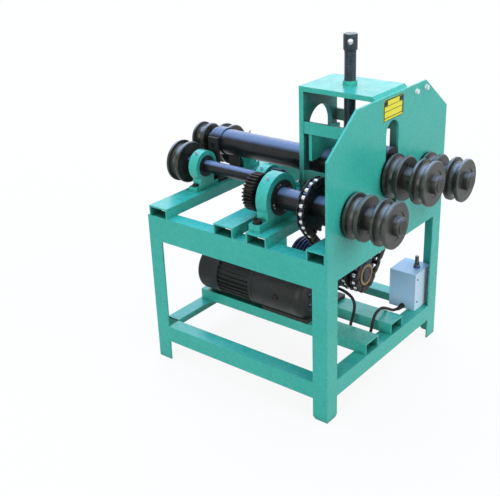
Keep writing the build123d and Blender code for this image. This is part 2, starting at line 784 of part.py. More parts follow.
def chain_point(s):
    """Pin position s pitches along the closed chain path."""
    s = s % chain_total
    a0, a1 = lean + open_angle, lean - open_angle
    if s <= main_wrap:
        return on_circle(-main_x, main_z, main_pitch_r, a0 + s * main_step)
    s -= main_wrap
    if s <= strand:
        start = on_circle(-main_x, main_z, main_pitch_r, a1)
        end = on_circle(0, drive_z, drive_pitch_r, a1)
        share = s / strand
        return (start[0] + share * (end[0] - start[0]), start[1] + share * (end[1] - start[1]))
    s -= strand
    if s <= drive_wrap:
        return on_circle(0, drive_z, drive_pitch_r, a1 + s * drive_step)
    s -= drive_wrap
    start = on_circle(0, drive_z, drive_pitch_r, a0)
    end = on_circle(-main_x, main_z, main_pitch_r, a0)
    share = s / strand
    return (start[0] + share * (end[0] - start[0]), start[1] + share * (end[1] - start[1]))


chain_step = chain_total / chain_links
first_seat = (main_wrap - math.floor(main_wrap)) / 2
main_turn = lean + open_angle + first_seat * main_step
to_drive = math.ceil((main_wrap + strand - first_seat) / chain_step) * chain_step + first_seat
drive_turn = lean - open_angle + (to_drive - main_wrap - strand) * drive_step


def link_plates(half, inner_y, hole):
    """Two side plates of one link, centred on the origin."""
    outline = SlotCenterToCenter(chain_pitch, 2 * half)
    for side in (-1, 1):
        outline -= Pos(side * chain_pitch / 2, 0) * Circle(hole)
    return [along_y(outline, inner_y, inner_y + chain_plate),
            along_y(outline, -inner_y - chain_plate, -inner_y)]


inner_y = chain_inner / 2
outer_y = inner_y + chain_plate + chain_side_gap
outer_end = outer_y + chain_plate + chain_pin_head


def swept(x, z):
    """True where the turning teeth pass through a roller's place."""
    reach_out = tooth_height + roller_r + tooth_sweep_gap
    near_main = math.hypot(x + main_x, z - main_z) < main_pitch_r + reach_out
    return near_main or math.hypot(x, z - drive_z) < drive_pitch_r + reach_out


def inner_link(free_ends):
    """Link with rollers at its free ends; elsewhere the teeth need the space between its plates."""
    plates = link_plates(inner_plate_half, inner_y, chain_pin_r + chain_pin_gap)
    for side in free_ends:
        tube = Pos(side * chain_pitch / 2, 0) * (Circle(roller_r) - Circle(chain_pin_r + chain_pin_gap))
        plates = [plates[0] + plates[-1] + along_y(tube, -inner_y, inner_y)]
    return plates


def outer_link(free_ends):
    """Link with whole pins at its free ends and short pins, one in each plate, elsewhere."""
    plates = link_plates(outer_plate_half, outer_y, chain_pin_r)
    for side in (-1, 1):
        if side not in free_ends:
            x = side * chain_pitch / 2
            plates[0] += round_y(chain_pin_r, x, 0, inner_y, outer_end)
            plates[1] += round_y(chain_pin_r, x, 0, -outer_end, -inner_y)
    for side in free_ends:
        pin = round_y(chain_pin_r, side * chain_pitch / 2, 0, -outer_end, outer_end)
        plates = [plates[0] + plates[-1] + pin]
    return plates


def cranked_link(free_ends):
    """Link that closes a chain of odd length: plates step outwards from the roller end to the pin end."""
    reach = 2 * chain_pitch
    near_side = block(-reach, crank_end, -reach, reach, -reach, reach)
    far_side = block(crank_start, reach, -reach, reach, -reach, reach)
    near_plates = link_plates(inner_plate_half, inner_y, chain_pin_r + chain_pin_gap)
    far_plates = link_plates(outer_plate_half, outer_y, chain_pin_r)
    plates = []
    for sign, near, far in zip((1, -1), near_plates, far_plates):
        bridge = block(crank_start, crank_end, sign * inner_y, sign * (outer_y + chain_plate),
                       -outer_plate_half, outer_plate_half)
        plates.append((near & near_side) + (far & far_side) + bridge)
    x = chain_pitch / 2
    if 1 not in free_ends:
        plates[0] += round_y(chain_pin_r, x, 0, inner_y, outer_end)
        plates[1] += round_y(chain_pin_r, x, 0, -outer_end, -inner_y)
    else:
        plates = [plates[0] + plates[1] + round_y(chain_pin_r, x, 0, -outer_end, outer_end)]
    if -1 in free_ends:
        tube = Pos(-x, 0) * (Circle(roller_r) - Circle(chain_pin_r + chain_pin_gap))
        plates = [plates[0] + plates[-1] + along_y(tube, -inner_y, inner_y)]
    return plates


left_links = []
for k in range(chain_links):
    x0, z0 = chain_point(first_seat + k * chain_step)
    x1, z1 = chain_point(first_seat + (k + 1) * chain_step)
    free_ends = [side for side, x, z in ((-1, x0, z0), (1, x1, z1)) if not swept(x, z)]
    angle = math.degrees(math.atan2(z1 - z0, x1 - x0))
    place = Pos((x0 + x1) / 2, left_chain_y, (z0 + z1) / 2) * Rot(0, -angle, 0)
    last_of_odd = chain_links % 2 == 1 and k == chain_links - 1
    link = inner_link(free_ends) if k % 2 == 0 else outer_link(free_ends)
    if last_of_odd:
        link = cranked_link(free_ends)
    left_links += [place * piece for piece in link]
shift_right = Pos(0, right_chain_y - left_chain_y, 0)
save("chain_left", *left_links)
right_links = [shift_right * mirror(link, about=Plane.YZ) for link in left_links]
save("chain_right", *right_links)

# Sprockets on the main shafts
wheel = Pos(-main_x, main_z) * (sprocket_outline(main_sprocket_teeth, main_pitch_r, main_turn)
                                - Circle(main_shaft_r))
left_sprocket = along_y(wheel, left_chain_y - sprocket_width / 2, left_chain_y + sprocket_width / 2)
hub = Pos(-main_x, main_z) * (Circle(sprocket_hub_r) - Circle(main_shaft_r))
left_sprocket += along_y(hub, left_chain_y, left_chain_y + sprocket_width / 2 + sprocket_hub_length)
save("left_sprocket", left_sprocket)
save("right_sprocket", shift_right * mirror(left_sprocket, about=Plane.YZ))

# Double drive sprocket and the reducer's output shaft
tooth_ring = Pos(0, drive_z) * (sprocket_outline(drive_sprocket_teeth, drive_pitch_r, drive_turn)
                                - Circle(drive_shaft_r))
row = along_y(tooth_ring, left_chain_y - sprocket_width / 2, left_chain_y + sprocket_width / 2)
hub = Pos(0, drive_z) * (Circle(drive_hub_r) - Circle(drive_shaft_r))
drive_front_y = right_chain_y - drive_hub_proud
drive_rear_y = left_chain_y + drive_hub_proud
drive_sprocket = along_y(hub, drive_front_y, drive_rear_y) + row
drive_sprocket += shift_right * mirror(row, about=Plane.YZ)
save("drive_sprocket", drive_sprocket)
save("output_shaft", turned([
    (0, drive_front_y - 4), (drive_shaft_r - 2, drive_front_y - 4), (drive_shaft_r, drive_front_y - 2),
    (drive_shaft_r, output_house_front_y + output_shaft_hold), (0, output_house_front_y + output_shaft_hold)],
    0, drive_z))

# Reducer: input barrel in line with the motor, output barrel above it, foot on the shelf rails
barrel = round_y(reducer_r, motor_x, motor_z, reducer_front_y, motor_front_y)
front_edges = barrel.edges().filter_by(GeomType.CIRCLE).sort_by(Axis.Y)[0:1]
barrel = fillet(front_edges, reducer_round)
upper = round_y(output_house_r, 0, drive_z, output_house_front_y, output_house_rear_y)
waist = make_hull([*(Pos(motor_x, motor_z) * Circle(0.8 * reducer_r)).edges(),
                   *(Pos(0, drive_z) * Circle(0.8 * output_house_r)).edges()])
web = along_y(waist, reducer_front_y + reducer_round, output_house_rear_y)
foot_half = shelf_rail_offset + shelf_rail_width / 2
foot = block(-foot_half, foot_half, foot_front_y, foot_rear_y, shelf_z, shelf_z + reducer_foot)
rib_front_y = reducer_front_y + reducer_round
rib_right = 20.0
rib = block(motor_x, rib_right, rib_front_y, rib_front_y + reducer_rib, shelf_z, drive_z)
rib += block(motor_x, rib_right, output_house_rear_y - reducer_rib, output_house_rear_y, shelf_z, drive_z)
reducer = barrel + upper + web + foot + rib
bore_end_y = output_house_front_y + output_shaft_hold + 1
reducer -= round_y(drive_shaft_r + running_gap, 0, drive_z, output_house_front_y - 1, bore_end_y)
reducer -= round_y(rotor_shaft_r + 1, motor_x, motor_z, motor_front_y - 41, motor_front_y + 1)
save("reducer_housing", reducer)

# Motor: finned shell, stator, rotor with fan, fan cover and terminal box
shell = Pos(motor_x, motor_z) * Circle(motor_r)
for i in range(motor_fins):
    angle = 360 * i / motor_fins
    fin = Pos(motor_r + motor_fin / 2 - 1, 0) * Rectangle(motor_fin + 2, 3)
    shell += Pos(motor_x, motor_z) * Rot(0, 0, angle) * fin
motor = along_y(shell, motor_front_y + motor_shield, motor_rear_y - motor_shield)
motor += round_y(motor_r + motor_fin, motor_x, motor_z, motor_front_y, motor_front_y + motor_shield)
motor += round_y(motor_r, motor_x, motor_z, motor_rear_y - motor_shield, motor_rear_y)
terminal_x = motor_x + motor_r + motor_fin
terminal_rear_y = terminal_front_y + terminal_length
motor += block(motor_x + motor_r - motor_wall / 2, terminal_x, terminal_front_y + 8, terminal_rear_y - 8,
               motor_z - 0.36 * terminal_height, motor_z + 0.36 * terminal_height)
bore_r = motor_r - motor_wall
motor -= round_y(bore_r, motor_x, motor_z, motor_front_y + motor_shield, motor_rear_y - motor_shield)
motor -= round_y(rotor_shaft_r + running_gap, motor_x, motor_z, motor_front_y - 1, motor_rear_y + 1)
save("motor_housing", motor)

stator_y0, stator_y1 = motor_front_y + 2.5 * motor_shield, motor_rear_y - 2.5 * motor_shield
stator_in = bore_r - stator_wall
stator = Pos(motor_x, motor_z) * (Circle(bore_r) - Circle(stator_in))
save("motor_stator", along_y(stator, stator_y0, stator_y1))

fan_y = motor_rear_y + 14
rotor = round_y(rotor_shaft_r, motor_x, motor_z, motor_front_y - 36, fan_y + fan_width + 4)
rotor += round_y(stator_in - rotor_gap, motor_x, motor_z, stator_y0, stator_y1)
rotor += round_y(2 * rotor_shaft_r, motor_x, motor_z, fan_y, fan_y + fan_width)
for i in range(fan_blades):
    blade = Pos((rotor_shaft_r + fan_r) / 2, 0) * Rectangle(fan_r - rotor_shaft_r, 3)
    blade = Pos(motor_x, motor_z) * Rot(0, 0, 360 * i / fan_blades) * blade
    rotor += along_y(blade, fan_y, fan_y + fan_width)
save("motor_rotor", rotor)

cover_start = motor_rear_y - motor_shield
cover = round_y(fan_cover_r, motor_x, motor_z, cover_start, fan_cover_rear_y)
cover = fillet(cover.edges().filter_by(GeomType.CIRCLE).sort_by(Axis.Y)[-1:], 10)
hollow_r = fan_cover_r - fan_cover_wall
hollow = round_y(hollow_r, motor_x, motor_z, cover_start - 1, fan_cover_rear_y - fan_cover_wall)
cover -= fillet(hollow.edges().filter_by(GeomType.CIRCLE).sort_by(Axis.Y)[-1:], 8)
cover += Pos(motor_x, 0, motor_z) * Pos(0, cover_start + motor_shield / 2, 0) * Rot(90, 0, 0) * (
    Cylinder(hollow_r + 0.5, motor_shield) - Cylinder(motor_r, motor_shield + 2))
for reach_r in (24, 42, 60):
    ring = Circle(reach_r + 4) - Circle(reach_r - 4)
    ring -= Rectangle(14, 4 * reach_r)
    ring -= Rectangle(4 * reach_r, 14)
    cover -= along_y(Pos(motor_x, motor_z) * ring, fan_cover_rear_y - 2 * fan_cover_wall,
                     fan_cover_rear_y + 1)
save("motor_fan_cover", cover)

terminal = block(terminal_x, terminal_x + terminal_depth, terminal_front_y, terminal_rear_y,
                 motor_z - terminal_height / 2, motor_z + terminal_height / 2)
terminal = fillet(terminal.edges().filter_by(Axis.X), 8)
save("motor_terminal_box", terminal)

# Control box on the lower rails, lid on the front, reversing lever on top
body = block(box_left, box_right, box_front + lid_thickness, box_rear, box_bottom, box_top)
body -= block(box_left + box_wall, box_right - box_wall, box_front, box_rear - box_wall,
              box_bottom + box_wall, box_top - box_wall)
body += along_z(Pos(switch_x, switch_y) * Circle(switch_collar_r), box_top, box_top + switch_collar_height)
body -= along_z(Pos(switch_x, switch_y) * Circle(switch_pin_r + running_gap),
                box_top - 3 * box_wall, box_top + switch_collar_height + 1)
save("control_box", body)
save("control_box_lid", block(box_left, box_right, box_front, box_front + lid_thickness, box_bottom, box_top))

lever_z = box_top + switch_collar_height + 0.5
lever = along_z(Pos(switch_x, switch_y) * Circle(switch_pin_r), box_top - 2 * box_wall - 8, lever_z)
grip = Pos(switch_x, switch_y) * SlotOverall(4 * lever_r, 2 * lever_r)
lever += along_z(grip, lever_z, lever_z + 9)
lever += along_z(Pos(switch_x, switch_y) * Circle(lever_r), lever_z + 9, lever_z + lever_length)
save("switch_lever", lever)

# Cable from the terminal box, down between the shelf rails and up to the control box
terminal_gland_y = terminal_front_y - gland_length
box_gland_x = box_left - gland_length
cable_x = terminal_x + terminal_depth * 0.72
cable_z = motor_z - 16
box_cable_y = box_front + 49
box_cable_z = box_bottom + gland_r + 1
drop_x = shelf_rail_offset - shelf_rail_width / 2 - 24
cable_span = box_left - drop_x
cable_y = output_house_front_y - 38
cable_points = [
    (cable_x, terminal_front_y - 2, cable_z), (cable_x, terminal_front_y - 56, cable_z),
    (cable_x, cable_y + 244, cable_z - 2), (cable_x, cable_y + 179, cable_z - 2),
    (cable_x, cable_y + 114, cable_z + 1), (cable_x - 3, cable_y + 54, cable_z + 4),
    (cable_x - 16, cable_y - 2, cable_z - 14),
    (cable_x - 24, cable_y - 2, cable_z - 70), (drop_x, cable_y + 14, lower_rail_top - 8),
    (drop_x, cable_y - 12, lower_rail_top - 50), (drop_x, cable_y - 58, lower_rail_top - 44),
    (drop_x, box_cable_y, lower_rail_top + 4), (drop_x + 12, box_cable_y - 2, shelf_z + 20),
    (drop_x + 0.30 * cable_span, box_cable_y + 3, shelf_z + 28),
    (drop_x + 0.54 * cable_span, box_cable_y + 5, shelf_z),
    (drop_x + 0.758 * cable_span, box_cable_y, box_cable_z), (box_left - 2, box_cable_y, box_cable_z)]


def cable_line(points):
    """Straight runs joined by tangent arcs."""
    spots = [Vector(*p) for p in points]
    radii = []
    for before, here, after in zip(spots, spots[1:], spots[2:]):
        run_in, run_out = here - before, after - here
        half_turn = math.radians(run_in.get_angle(run_out)) / 2
        radii.append(0.45 * min(run_in.length, run_out.length) / math.tan(half_turn))
    return FilletPolyline(*spots, radius=radii), radii


cable_run, cable_radii = cable_line(cable_points)
section = Plane(cable_run @ 0, z_dir=cable_run % 0) * Circle(cable_r)
cable = sweep(section, path=cable_run)
print("cable radii", [round(r, 1) for r in cable_radii])
print("cable length", round(cable_run.length, 1), "volume ratio",
      round(cable.volume / (math.pi * cable_r ** 2 * cable_run.length), 4))
save("cable", cable)

box_gland = round_x(gland_r, box_cable_y, box_cable_z, box_gland_x, box_left)
box_gland -= round_x(cable_r, box_cable_y, box_cable_z, box_gland_x - 1, box_left + 1)
motor_gland = round_y(gland_r, cable_x, cable_z, terminal_gland_y, terminal_front_y)
motor_gland -= round_y(cable_r, cable_x, cable_z, terminal_gland_y - 1, terminal_front_y + 1)
save("cable_glands", box_gland, motor_gland)
print("table_y", table_y, "drive_z", drive_z, "links", chain_links, "chain step", chain_step)
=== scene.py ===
"""Looks, camera and light for the electric roll bender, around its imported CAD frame."""

import json
import math

import bmesh
import bpy
from mathutils import Matrix, Vector

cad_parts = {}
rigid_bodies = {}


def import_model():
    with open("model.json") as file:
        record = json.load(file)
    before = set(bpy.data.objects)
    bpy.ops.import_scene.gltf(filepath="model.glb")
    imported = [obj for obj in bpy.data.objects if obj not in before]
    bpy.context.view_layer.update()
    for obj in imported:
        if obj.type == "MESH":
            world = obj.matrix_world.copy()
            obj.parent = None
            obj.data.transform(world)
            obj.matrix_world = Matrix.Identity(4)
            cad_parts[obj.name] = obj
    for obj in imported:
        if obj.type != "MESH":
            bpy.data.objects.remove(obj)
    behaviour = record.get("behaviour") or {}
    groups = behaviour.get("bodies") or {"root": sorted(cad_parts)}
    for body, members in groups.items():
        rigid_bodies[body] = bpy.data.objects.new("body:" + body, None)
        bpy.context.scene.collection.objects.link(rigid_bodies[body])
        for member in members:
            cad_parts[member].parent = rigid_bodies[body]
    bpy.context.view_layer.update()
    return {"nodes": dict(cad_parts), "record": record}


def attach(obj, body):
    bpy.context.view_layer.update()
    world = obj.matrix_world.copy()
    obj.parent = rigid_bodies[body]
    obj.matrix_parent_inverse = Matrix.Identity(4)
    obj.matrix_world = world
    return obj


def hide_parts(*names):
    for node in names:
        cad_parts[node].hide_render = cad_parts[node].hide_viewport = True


for leftover in list(bpy.data.objects):
    bpy.data.objects.remove(leftover)
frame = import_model()
nodes = frame["nodes"]
scene = bpy.context.scene
scene.view_settings.view_transform = "Standard"

# Places repeated from the CAD source, in metres
SHIFT = 0.047
MAIN_X, MAIN_Z = 0.225, 0.678
UPPER_Z = 0.736
REAR_X = 0.121
DECK_Z, TABLE_Z, RAIL_BOTTOM = 0.596, 0.560, 0.470
LOWER_TOP, LOWER_BOTTOM = 0.136, 0.076
TABLE_FRONT, TABLE_REAR = -0.370 + SHIFT, 0.370 + SHIFT
PLATE_BACK = TABLE_FRONT + 0.008
GANTRY_TOP = 0.991
GANTRY_HALF = 0.097
GANTRY_FRONT, GANTRY_REAR = -0.102 + SHIFT, -0.085 + SHIFT
CHANNELS = (0.320 + SHIFT, 0.032 + SHIFT, -0.102 + SHIFT, -0.327 + SHIFT)
SCREW_Y = -0.213 + SHIFT
DRIVE_Z = 0.3639726
MOTOR_X, MOTOR_Z = -0.075, 0.266
CENTRE_PILLOW_Y = -0.0835 + SHIFT
CENTRE_PILLOW_TOP, REAR_PILLOW_TOP = 0.080, 0.054
CHANNEL_HALF, FRONT_CHANNEL_HALF = 0.040, 0.035
STAND_FRONT, STAND_REAR, STAND_HALF = 0.3455, 0.3885, 0.0605
SHAFT_END = 0.495
BOX_FACE, BOX_TOP = -0.302, 0.281
SWITCH = (0.299, -0.271, BOX_TOP)
REDUCER_SIDE, REDUCER_FACE, BARREL_FACE = MOTOR_X - 0.0858, -0.083, -0.139
FOOT_X, FOOT_Y, FOOT_TOP = 0.108, (-0.040, 0.020), 0.190
HUB_FACE = -0.240
PLATE_FACE = -0.3238
X, Y, Z = Vector((1, 0, 0)), Vector((0, 1, 0)), Vector((0, 0, 1))


def srgb(red, green, blue):
    """Linear colour from the 0 to 255 values of a picture."""
    def straight(v):
        v /= 255
        return v / 12.92 if v <= 0.04045 else ((v + 0.055) / 1.055) ** 2.4
    return (straight(red), straight(green), straight(blue), 1.0)


# Camera: the photograph's viewpoint
def place_camera():
    azimuth, elevation, roll = (math.radians(v) for v in (-50.581, 24.412, -2.284))
    distance, aside, height = 3.09935, -0.16837, 0.39746
    focal_pixels, picture_pixels = 870.99, 500
    back = Vector((math.sin(azimuth) * math.cos(elevation), -math.cos(azimuth) * math.cos(elevation),
                   math.sin(elevation)))
    right = Vector((math.cos(azimuth), math.sin(azimuth), 0))
    up = back.cross(right)
    across = right * math.cos(roll) + up * math.sin(roll)
    upward = up * math.cos(roll) - right * math.sin(roll)
    target = right * aside + Vector((0, SHIFT, height))
    data = bpy.data.cameras.new("camera")
    data.sensor_width = 36
    data.lens = data.sensor_width * focal_pixels / picture_pixels
    camera = bpy.data.objects.new("camera", data)
    turn = Matrix((across, upward, back)).transposed().to_4x4()
    camera.matrix_world = Matrix.Translation(target + back * distance) @ turn
    scene.collection.objects.link(camera)
    scene.camera = camera


place_camera()


# Materials
class Look:
    """A procedural material, put together node by node."""

    def __init__(self, name):
        self.material = bpy.data.materials.new(name)
        self.material.use_nodes = True
        self.tree = self.material.node_tree
        self.tree.nodes.clear()
        self.output = self.node("ShaderNodeOutputMaterial")
        self.shader = self.node("ShaderNodeBsdfPrincipled")
        self.link(self.shader.outputs["BSDF"], self.output.inputs["Surface"])
        self.place = self.node("ShaderNodeTexCoord").outputs["Object"]

    def node(self, kind, **settings):
        made = self.tree.nodes.new(kind)
        for key, value in settings.items():
            setattr(made, key, value)
        return made

    def link(self, start, end):
        self.tree.links.new(start, end)

    def noise(self, scale, detail=3.0, rough=0.55):
        made = self.node("ShaderNodeTexNoise")
        made.inputs["Scale"].default_value = scale
        made.inputs["Detail"].default_value = detail
        made.inputs["Roughness"].default_value = rough
        self.link(self.place, made.inputs["Vector"])
        return made.outputs["Fac"]

    def spread(self, value, low, high, to_low=0.0, to_high=1.0):
        made = self.node("ShaderNodeMapRange")
        made.inputs["From Min"].default_value = low
        made.inputs["From Max"].default_value = high
        made.inputs["To Min"].default_value = to_low
        made.inputs["To Max"].default_value = to_high
        self.link(value, made.inputs["Value"])
        return made.outputs["Result"]

    def math(self, operation, first, second):
        made = self.node("ShaderNodeMath", operation=operation)
        for value, socket in ((first, made.inputs[0]), (second, made.inputs[1])):
            if isinstance(value, (int, float)):
                socket.default_value = value
            else:
                self.link(value, socket)
        return made.outputs["Value"]

    def mix(self, share, first, second):
        made = self.node("ShaderNodeMix", data_type="RGBA")
        sockets = [s for s in made.inputs if s.type == "RGBA"]
        self.link(share, made.inputs["Factor"])
        for value, socket in zip((first, second), sockets):
            if isinstance(value, tuple):
                socket.default_value = value
            else:
                self.link(value, socket)
        return next(s for s in made.outputs if s.type == "RGBA")

    def edges(self, radius, low=0.02, high=0.25):
        """1 on the outer and inner edges of a shape, 0 on its faces."""
        rounded = self.node("ShaderNodeBevel", samples=4)
        rounded.inputs["Radius"].default_value = radius
        flat = self.node("ShaderNodeNewGeometry")
        dot = self.node("ShaderNodeVectorMath", operation="DOT_PRODUCT")
        self.link(rounded.outputs["Normal"], dot.inputs[0])
        self.link(flat.outputs["Normal"], dot.inputs[1])
        return self.spread(dot.outputs["Value"], 1 - low, 1 - high)

    def hollows(self, distance, start=0.75, full=0.25):
        """1 in corners and crevices, 0 in the open."""
        made = self.node("ShaderNodeAmbientOcclusion", samples=6)
        made.inputs["Distance"].default_value = distance
        return self.spread(made.outputs["AO"], start, full)

    def tops(self, low, high):
        """1 on surfaces that look upwards, where a painted highlight is laid."""
        split = self.node("ShaderNodeSeparateXYZ")
        self.link(self.node("ShaderNodeNewGeometry").outputs["Normal"], split.inputs["Vector"])
        return self.spread(split.outputs["Z"], low, high)

    def bump(self, value, strength, distance, rounding):
        """Fine relief, on edges that look slightly rounded."""
        made = self.node("ShaderNodeBump")
        made.inputs["Strength"].default_value = strength
        made.inputs["Distance"].default_value = distance
        self.link(value, made.inputs["Height"])
        soft = self.node("ShaderNodeBevel", samples=4)
        soft.inputs["Radius"].default_value = rounding
        self.link(soft.outputs["Normal"], made.inputs["Normal"])
        self.link(made.outputs["Normal"], self.shader.inputs["Normal"])

    def set(self, name, value):
        self.shader.inputs[name].default_value = value

    def colour(self, socket):
        self.link(socket, self.shader.inputs["Base Color"])

    def rough(self, socket):
        self.link(socket, self.shader.inputs["Roughness"])


# Colours: dirt and painted shade for corners, rust, and painted shade for deep recesses
GRIME_AND_SHADE, RUST, RECESS_SHADE_COLOUR = srgb(34, 48, 42), srgb(92, 62, 42), srgb(22, 44, 40)
# Reach of the painted shade in deep recesses: occlusion distance, start and full
RECESS_SHADE_REACH = (0.09, 0.52, 0.22)


def paint(name, base, dark, worn, roughness, grime_and_shade=0.55, wear=0.8, peel=0.05, level=0.3, recess_shade=0.0,
          reach=RECESS_SHADE_REACH, recess_shade_colour=RECESS_SHADE_COLOUR):
    """Brushed or sprayed enamel on steel: mottled, with dirt and painted shade in corners, painted shade in deep
    recesses, worn on edges.
    """
    look = Look(name)
    mottle = look.spread(look.noise(7, 5), 0.3, 0.7)
    fine = look.spread(look.noise(90, 3), 0.35, 0.65)
    body = look.mix(look.spread(look.math("ADD", mottle, fine), 0.2, 1.8), srgb(*dark), srgb(*base))
    # Dirt and painted shade: corners and crevices darkened towards a dark green by ambient occlusion
    shaded_corners = look.math("MULTIPLY", look.hollows(0.022), look.spread(look.noise(38, 4), 0.25, 0.6))
    dirty_and_shaded = look.mix(look.math("MULTIPLY", shaded_corners, grime_and_shade), body, GRIME_AND_SHADE)
    # Painted shade: deep recesses darkened towards a dark colour by a wider ambient occlusion
    if recess_shade:
        dirty_and_shaded = look.mix(look.math("MULTIPLY", look.hollows(*reach), recess_shade), dirty_and_shaded, recess_shade_colour)
    broken = look.math("MULTIPLY", look.edges(0.0016), look.spread(look.noise(120, 4, 0.7), 0.47, 0.6))
    chips = look.spread(look.noise(46, 6, 0.75), 0.735, 0.75)
    rubbed = look.math("MULTIPLY", broken, wear)
    chipped = look.math("MULTIPLY", chips, 0.6 * wear)
    look.colour(look.mix(look.math("MAXIMUM", rubbed, chipped), dirty_and_shaded, srgb(*worn)))
    look.rough(look.spread(look.noise(24, 4), 0.3, 0.7, roughness - 0.06, roughness + 0.10))
    look.set("Specular IOR Level", level)
    look.bump(look.noise(520, 2), peel, 0.0012, 0.0009)
    return look


def steel(name, base, light, roughness, metallic=0.0, level=0.5, rust=0.0, painted_top_sheen=None):
    """Blackened or bright steel with machining marks, oil stains, rubbed edges and a painted bluish highlight on
    its upward faces.
    """
    look = Look(name)
    stain = look.spread(look.noise(22, 5, 0.6), 0.35, 0.7)
    fine = look.noise(260, 3, 0.6)
    body = look.mix(look.math("MULTIPLY", stain, 0.75), srgb(*base), srgb(*light))
    if rust:
        spots = look.math("MULTIPLY", look.spread(look.noise(31, 6, 0.7), 0.55, 0.75), rust)
        body = look.mix(spots, body, RUST)
    # Painted highlight: upward faces lightened towards a bluish sky reflection
    if painted_top_sheen:
        patchy = look.spread(look.noise(14, 4), 0.2, 0.5, 0.7, 1.0)
        body = look.mix(look.math("MULTIPLY", look.tops(0.54, 0.76), patchy), body, srgb(*painted_top_sheen))
    rubbed = look.math("MULTIPLY", look.edges(0.0012), look.spread(look.noise(80, 3), 0.35, 0.6))
    polished = tuple(min(1.0, 2.6 * v) for v in srgb(*light)[:3]) + (1.0,)
    look.colour(look.mix(look.math("MULTIPLY", rubbed, 0.7), body, polished))
    look.rough(look.spread(look.math("ADD", fine, stain), 0.4, 1.4, roughness - 0.07, roughness + 0.09))
    look.set("Metallic", metallic)
    look.set("Specular IOR Level", level)
    look.bump(fine, 0.12, 0.0008, 0.0008)
    return look


# Paints: base, shade and worn colours, roughness, and what differs from plain enamel. The gantry's inside
# gets painted shade: its sheltered places are darkened towards grey
PAINTS = {
    "green_paint": ((72, 198, 182), (58, 186, 170), (168, 216, 212), 0.27, dict(recess_shade=0.85)),
    "gantry_shaded_paint": ((72, 198, 182), (58, 186, 170), (168, 216, 212), 0.27,
                     dict(recess_shade=0.9, reach=(0.18, 0.86, 0.44), recess_shade_colour=srgb(62, 68, 68))),
    "drive_paint": ((44, 46, 46), (32, 33, 32), (88, 84, 78), 0.46,
                    dict(grime_and_shade=0.4, wear=0.5, peel=0.12, level=0.25)),
    "box_paint": ((184, 226, 255), (176, 218, 250), (226, 236, 242), 0.36,
                  dict(grime_and_shade=0.3, wear=0.4, peel=0.08, level=0.4)),
    # Painted light: the lid, the box's front, takes a paler copy of the box paint, lighter where the light falls
    "lid_lit_paint": ((214, 240, 255), (206, 234, 252), (236, 242, 246), 0.34,
                  dict(grime_and_shade=0.3, wear=0.4, peel=0.08, level=0.4)),
    "nameplate": ((255, 250, 70), (255, 246, 60), (240, 232, 150), 0.38, dict(grime_and_shade=0.2, wear=0.4)),
    "name_black": ((30, 32, 26), (24, 25, 22), (90, 88, 70), 0.42, dict(grime_and_shade=0.2, wear=0.4)),
    "black_plastic": ((30, 30, 32), (22, 22, 24), (70, 70, 72), 0.5, dict(grime_and_shade=0.2, wear=0.3, peel=0.2)),
    "blue_plastic": ((46, 72, 158), (38, 60, 140), (90, 110, 170), 0.42, dict(grime_and_shade=0.2, wear=0.3)),
    "cable_rubber": ((26, 27, 30), (20, 21, 24), (48, 50, 54), 0.5, dict(grime_and_shade=0.25, wear=0.2, peel=0.3)),
    "weld": ((54, 190, 174), (42, 168, 152), (132, 200, 190), 0.34, dict(grime_and_shade=0.7, wear=0.5, peel=0.25)),
}
# Metals: base and light colours, roughness, and what differs from plain dark metal
METALS = {
    "die_steel": ((42, 45, 41), (80, 84, 78), 0.30,
                  dict(metallic=0.25, level=0.4, rust=0.15, painted_top_sheen=(118, 127, 138))),
    "black_steel": ((18, 19, 20), (32, 34, 38), 0.28, dict(level=0.3, painted_top_sheen=(100, 124, 160))),
    "blue_steel": ((24, 34, 44), (36, 56, 80), 0.30, dict(metallic=0.1, level=0.4, painted_top_sheen=(74, 92, 168))),
    "screw_steel": ((38, 50, 56), (62, 78, 88), 0.30, dict(metallic=0.3, level=0.35)),
    "chain_steel": ((26, 25, 24), (58, 55, 50), 0.34, dict(metallic=0.4, level=0.3)),
    "bright_steel": ((132, 136, 140), (184, 188, 192), 0.28, dict(metallic=0.9)),
    # Near-white metal for plate bolts and chain rollers: bright plating, lightened further as a painted glint
    "glint_white_metal": ((222, 226, 228), (246, 248, 250), 0.22, dict(metallic=0.6, level=0.6)),
    "bronze": ((132, 104, 62), (176, 146, 96), 0.36, dict(metallic=0.85)),
    "tan_ring": ((120, 98, 60), (160, 136, 92), 0.42, dict(metallic=0.5, rust=0.4)),
    "lever_brass": ((52, 52, 38), (104, 106, 86), 0.28, dict(metallic=0.6)),
    "seal": ((26, 25, 24), (46, 42, 38), 0.45, dict(metallic=0.1, level=0.3)),
}
looks = {name: paint(name, *values, **rest) for name, (*values, rest) in PAINTS.items()}
looks.update((name, steel(name, *values, **rest)) for name, (*values, rest) in METALS.items())
# The arm's pivot stand takes the dark drive paint: painted shade, dark where it stands behind the pillow
OWN_LOOKS = {
    "plate_bolts": "glint_white_metal", "pillow_bolts": "chain_steel", "bearing_inserts": "seal",
    "switch_lever": "lever_brass", "control_box_lid": "lid_lit_paint", "arm_pivot_stand": "drive_paint",
    "left_gear": "chain_steel", "right_gear": "chain_steel", "gantry_rear_plate": "gantry_shaded_paint",
    "gantry_side_bars": "gantry_shaded_paint", "slide_guides": "gantry_shaded_paint",
}

slots = {row["node"]: row["material_slot"] for row in frame["record"]["subparts"]}
for name, node in nodes.items():
    node.data.materials.clear()
    node.data.materials.append(looks[OWN_LOOKS.get(name, slots[name])].material)


